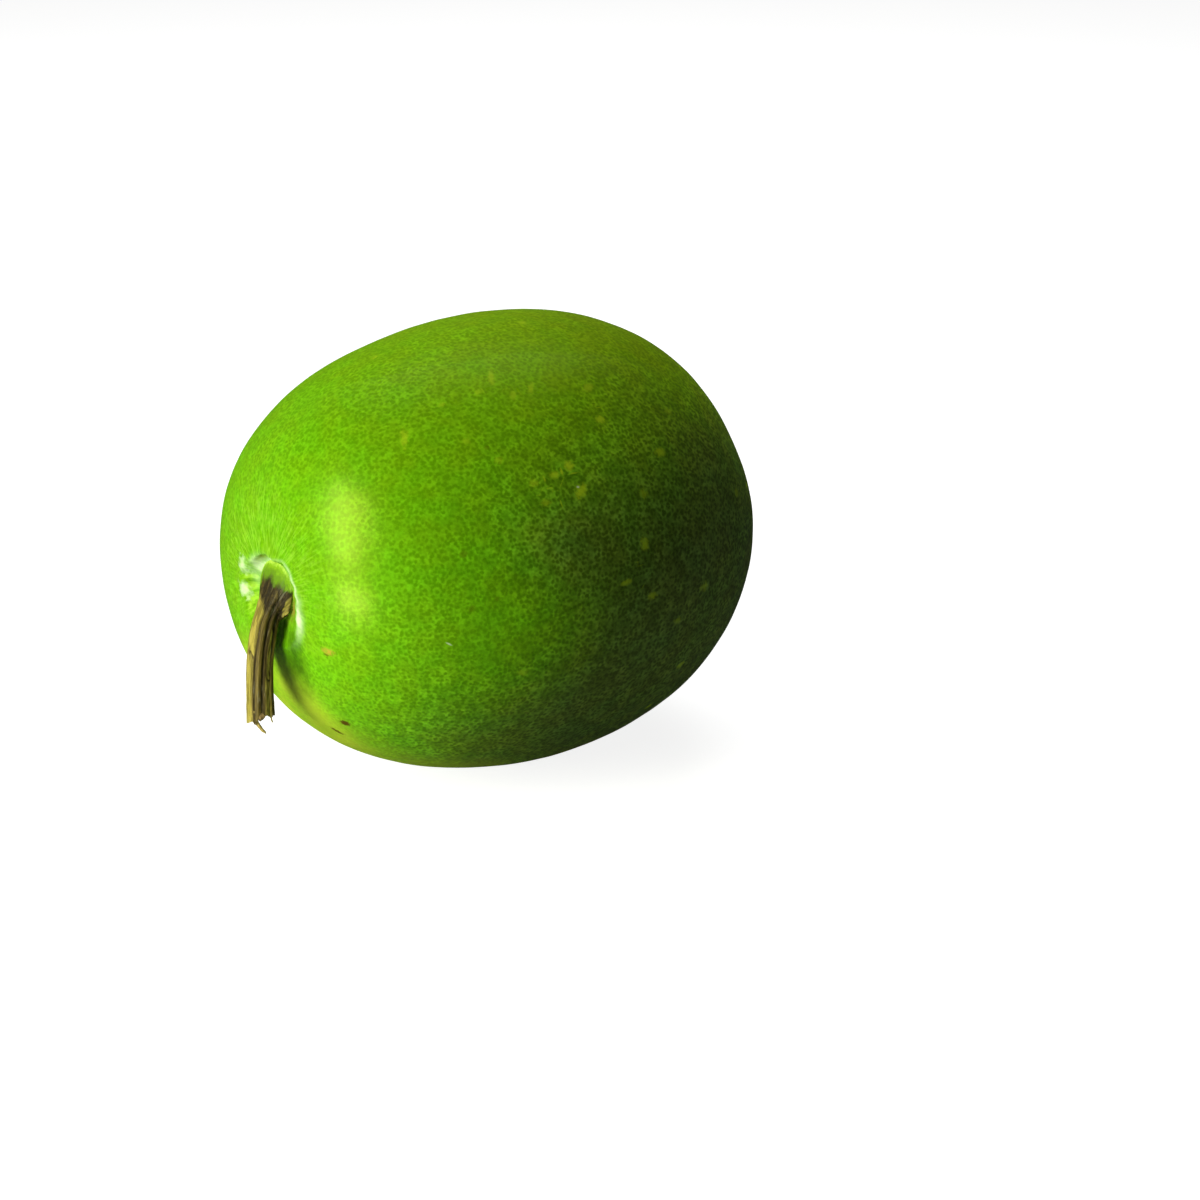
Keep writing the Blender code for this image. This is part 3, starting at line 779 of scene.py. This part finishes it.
def buildSplinters(material):
    s = splinters
    sides, rings, end = s["sides"], s["rings"], stem["length"] / mm
    angles = np.arange(sides) * 2.0 * np.pi / sides
    down = bentDirection(stem["endBend"])
    noiseHeight, noiseSize, squash = s["roughness"]
    rootCap, tipCap = s["capHeights"]
    points, faces, barkPoints = [], [], []
    for turn, rooted, free, width, thickness, leanX, leanY in s["pieces"]:
        start, inner = [stemPoint(stem["length"] - rooted * mm, turn, -depth * mm)
                        for depth in (s["inset"], s["inset"] + 1.0)]
        outwards = (start - inner) / np.linalg.norm(start - inner)
        sideways = np.cross(outwards, down)
        share = np.linspace(0.0, 1.0, rings)[:, None]
        drift = np.clip((share * (rooted + free) - rooted) / free, 0.0, 1.0) ** s["bendPower"]
        line = start + down * share * (rooted + free) * mm + drift * np.array([leanX, leanY, 0.0]) * mm
        taper = (1.0 - s["taper"] * share) * (1.0 - s["tipTaper"] * ease(share, s["tipStart"], 1.0))
        ring = sideways * (width / 2.0 * np.cos(angles))[:, None]
        ring = ring + outwards * (thickness / 2.0 * np.sin(angles))[:, None]
        tube = line[:, None, :] + ring[None] * mm * taper[:, :, None]
        wobble = noiseHeight * noiseOf(tube.reshape(-1, 3) / mm * (1.0, 1.0, squash), noiseSize, turn)
        tube = tube + ring[None] * (wobble.reshape(tube.shape[:2]) / (thickness / 2.0))[..., None] * mm
        faces += tubeFaces(rings, sides, len(points))
        points += [*tube.reshape(-1, 3), line[0] - down * rootCap * mm, line[-1] + down * tipCap * mm]
        away = np.concatenate([np.repeat(share[:, 0] * (rooted + free), sides), [0.0, rooted + free]])
        around = np.concatenate([np.tile(angles, rings), [0.0, 0.0]])
        barkPoints += list(np.stack([np.cos(around) + turn, np.sin(around), end + away], -1))
    values = dict(barkPoint=barkPoints, stemLength=np.array(barkPoints)[:, 2],
                  ridge=np.full(len(points), s["ridge"]), zones=np.tile(s["zones"], (len(points), 1)))
    return makePiece("stem_splinters", setDown(np.array(points)), faces, material, values)


# Bark of the stem, grown and dried: brown fibres between dark shrunken grooves, their darkness partly painted
# shade, rib crests lighter with partly painted highlight, strips of golden skin, grey specks of painted
# glint, and green and fleshy at the root. Sizes are in mm, as on the real stem, and steps are given as for
# the rind.
bark = dict(
    wood=((0.0, "#1f1906"), (0.30, "#352c0e"), (0.62, "#564a1b"), (0.95, "#76682a")), darkRootColour="#1f1906",
    flesh=((0.0, "#a9c94a"), (0.35, "#719c08"), (0.8, "#557a06")), vein="#557a06",
    # grey is the colour of painted glints, spread as specks over the bark
    gold="#948938", goldDark="#6b6224", glintGrey="#827f63", pith="#a38a55",
    # squash along the fibres, size and detail of each noise
    noises=dict(fibres=(0.07, 0.45, 4.0), broad=(0.07, 2.2, 2.0), speck=(0.16, 0.8, 3.0),
                crumb=(1.0, 0.8, 3.0)),
    steps=dict(darkRootPatches=("crumb", 0.64, 0.40, 0.40, 0.88), paintedGlints=("speck", 0.56, 0.72, 0.0, 0.32),
               stained=("speck", 0.38, 0.60), fibred=("fibres", 0.32, 0.50, 0.35, 1.0),
               veins=("fibres", 0.35, 0.65, 0.0, 0.35), torn=("speck", 0.35, 0.60, 0.35, 0.85)),
    heightShift=0.44, fibreHeight=0.55, broadHeight=0.35, nearRoot=(8.0, 14.0, 1.0, 0.0),
    fleshRagged=3.0, fleshEnd=(0.8, 5.5), dryShift=0.35, dryRagged=0.7, dryStart=(0.10, 0.80),
    shine=(0.0, 1.0, 0.82, 0.52), ior=1.45, specular=0.2, bumpHeight=0.10, bumpStrength=0.9,
)


def makeBarkMaterial():
    material, add, shader = newMaterial("dried_stem_bark_grown")
    s = bark
    barkPoint, zones = [add("Attribute", {"attribute_name": name}, out=1) for name in ("barkPoint", "zones")]
    ridge, length = [add("Attribute", {"attribute_name": name}, out=2) for name in ("ridge", "stemLength")]
    dryness, skinZone, tornZone = add("SeparateXYZ", None, [zones]).node.outputs
    noises = {}
    for name, (squash, size, detail) in s["noises"].items():
        squashed = add("VectorMath", times, [barkPoint, (1.0, 1.0, squash)])
        noises[name] = add("TexNoise", None, {"Vector": squashed, "Scale": 1.0 / size, "Detail": detail})
    step = {name: add("MapRange", softStep, [noises[source], *limits])
            for name, (source, *limits) in s["steps"].items()}
    # the colour follows this height, so grooves are darker and rib crests lighter, partly painted shade and
    # highlight
    height = add("Math", minus, [ridge, s["heightShift"]])
    height = add("Math", timesPlus, [noises["fibres"], s["fibreHeight"], height])
    height = add("Math", timesPlusHeld, [noises["broad"], s["broadHeight"], height])
    colour = add("ValToRGB", {"stops": s["wood"]}, [height])
    # darkest and most wrinkled next to the root; grey specks all over are painted glints
    nearRoot = add("MapRange", softStep, [length, *s["nearRoot"]])
    darkRootPatches = add("Math", times, [step["darkRootPatches"], nearRoot])
    colour = add("Mix", layer, {0: darkRootPatches, 6: colour, 7: s["darkRootColour"]}, out=2)
    colour = add("Mix", layer, {0: step["paintedGlints"], 6: colour, 7: s["glintGrey"]}, out=2)
    # strips of golden skin with brown stains
    skin = add("Mix", layer, {0: step["stained"], 6: s["goldDark"], 7: s["gold"]}, out=2)
    golden = add("Math", times, [skinZone, step["fibred"]])
    colour = add("Mix", layer, {0: golden, 6: colour, 7: skin}, out=2)
    # green flesh at the root, palest where it meets the rind
    wobble = add("Math", timesPlus, [noises["crumb"], s["fleshRagged"], length])
    fleshStep = add("MapRange", softStep, [wobble, *s["fleshEnd"]])
    flesh = add("ValToRGB", {"stops": s["flesh"]}, [fleshStep])
    flesh = add("Mix", layer, {0: step["veins"], 6: flesh, 7: s["vein"]}, out=2)
    ragged = add("Math", minus, [dryness, s["dryShift"]])
    ragged = add("Math", timesPlus, [noises["crumb"], s["dryRagged"], ragged])
    dried = add("MapRange", softStep, [ragged, *s["dryStart"]])
    colour = add("Mix", layer, {0: dried, 6: flesh, 7: colour}, out=2)
    # pale pith in the torn face
    torn = add("Math", times, [tornZone, step["torn"]])
    colour = add("Mix", layer, {0: torn, 6: colour, 7: s["pith"]}, out=2)
    shine = add("MapRange", softStep, [height, *s["shine"]])
    bump = add("Bump", None, {"Height": noises["fibres"], "Distance": s["bumpHeight"] * mm,
                              "Strength": s["bumpStrength"]})
    fillSockets(shader, {"Base Color": colour, "Roughness": shine, "Normal": bump, "IOR": s["ior"],
                         "Specular IOR Level": s["specular"]})
    return material


# Studio: a key softbox to the left, a broad one above, a low card to the left, a dim card that only the
# gloss shows, a small fill for the stem, and a white table that glows
studio = dict(
    # place, target, size, power, colour, and whether the gourd mirrors it
    lamps=dict(
        key_softbox=((-0.92067, 0.00600, 0.46699), (0.0, 0.0, 0.0767), (0.40, 0.62), 11.5, "#fffff0", True),
        top_softbox=((0.41878, 0.54194, 1.06205), (0.0, 0.0, 0.0767), (1.0, 1.0), 10.3, "#ffffff", False),
        table_card=((-0.255, -0.04, 0.04), (0.0, -0.04, 0.04), (0.117, 0.076), 0.21, "#fffff0", False),
        sheen_card=((-0.40, -0.055, 0.03), (0.0, -0.055, 0.07), (0.15, 0.070), 0.50, "#fffff0", True),
        stem_fill=((-0.07, -0.52, 0.05), (-0.10, -0.02, 0.05), (0.24, 0.30), 0.90, "#ffffff", False)),
    floorSize=60.0, floorColour="#b0b0b0", floorRoughness=0.9, floorSpecular=0.1, floorGlow=0.86,
    roomRange=(0.02, 0.45, 0.06, 0.04),  # brightness of the room from low to high up
)


def addLamp(name, place, target, size, power, colour, mirrored):
    light = bpy.data.lights.new(name, "AREA")
    light.shape = "RECTANGLE"
    light.size, light.size_y = size
    light.energy = power
    light.color = linearColour(colour)[:3]
    lamp = addObject(name, light)
    lamp.location = place
    lamp.rotation_euler = (Vector(target) - Vector(place)).to_track_quat("-Z", "Y").to_euler()
    lamp.visible_camera = False
    lamp.visible_glossy = mirrored
    return lamp


def lightOnly(source, pieces, name):
    # what this lamp or glowing piece sends out lights these pieces alone
    lit = bpy.data.collections.new(name)
    for piece in pieces:
        lit.objects.link(piece)
    source.light_linking.receiver_collection = lit


def buildStudio(stemPieces):
    s = studio
    lamps = {name: addLamp(name, *values) for name, values in s["lamps"].items()}
    lamps["sheen_card"].visible_diffuse = False
    lightOnly(lamps["stem_fill"], stemPieces, "lit_by_the_fill")
    half = s["floorSize"] / 2.0
    data = bpy.data.meshes.new("table_top")
    data.from_pydata([(-half, -half, 0.0), (half, -half, 0.0), (half, half, 0.0), (-half, half, 0.0)], [],
                     [(0, 1, 2, 3)])
    floor = addObject("table_top", data)
    material, _, shader = newMaterial("white_table_top_matt_painted")
    fillSockets(shader, {"Base Color": s["floorColour"], "Roughness": s["floorRoughness"],
                         "Specular IOR Level": s["floorSpecular"], "Emission Color": "#ffffff",
                         "Emission Strength": s["floorGlow"]})
    data.materials.append(material)
    # the glow whitens the table alone; the gourd sees only what the lamps light
    lightOnly(floor, [floor], "lit_by_the_table_glow")
    floor.visible_glossy = False
    world = bpy.data.worlds.new("studio_room")
    scene.world = world
    world.use_nodes = True
    tree = world.node_tree
    height = addNode(tree, "SeparateXYZ", None, [addNode(tree, "TexCoord")], out=2)
    level = addNode(tree, "MapRange", softStep, [height, *s["roomRange"]])
    fillSockets(tree.nodes["Background"], {"Color": "#ffffff", "Strength": level})
    scene.view_settings.view_transform = "Standard"
    scene.view_settings.look = "None"


# the photograph's view: angles in degrees, and how far right, up and back from the fruit's middle it stands
camera = dict(lens=85.0, sensor=36.0, clipStart=0.05, clipEnd=100.0, elevation=22.0, azimuth=-37.94,
              right=0.03931, up=-0.02176, distance=0.99415)


def buildCamera():
    s = camera
    data = bpy.data.cameras.new("camera")
    data.lens, data.sensor_width = s["lens"], s["sensor"]
    data.clip_start, data.clip_end = s["clipStart"], s["clipEnd"]
    item = addObject("camera", data)
    middle = Matrix.Translation((0.0, 0.0, fruit["axisHeight"]))
    swung = Matrix.Rotation(math.radians(s["azimuth"]), 4, "Z")
    tipped = Matrix.Rotation(math.radians(90.0 - s["elevation"]), 4, "X")
    item.matrix_world = middle @ swung @ tipped @ Matrix.Translation((s["right"], s["up"], s["distance"]))
    scene.camera = item


buildCamera()
print("gourd: camera placed")
spareMarks()
buildFruit(makeRindMaterial())
print("gourd: rind built")
barkMaterial = makeBarkMaterial()
stemPieces = [buildStem(barkMaterial), buildSplinters(barkMaterial)]
print("gourd: stem built")
buildStudio(stemPieces)
print("gourd: studio lit")
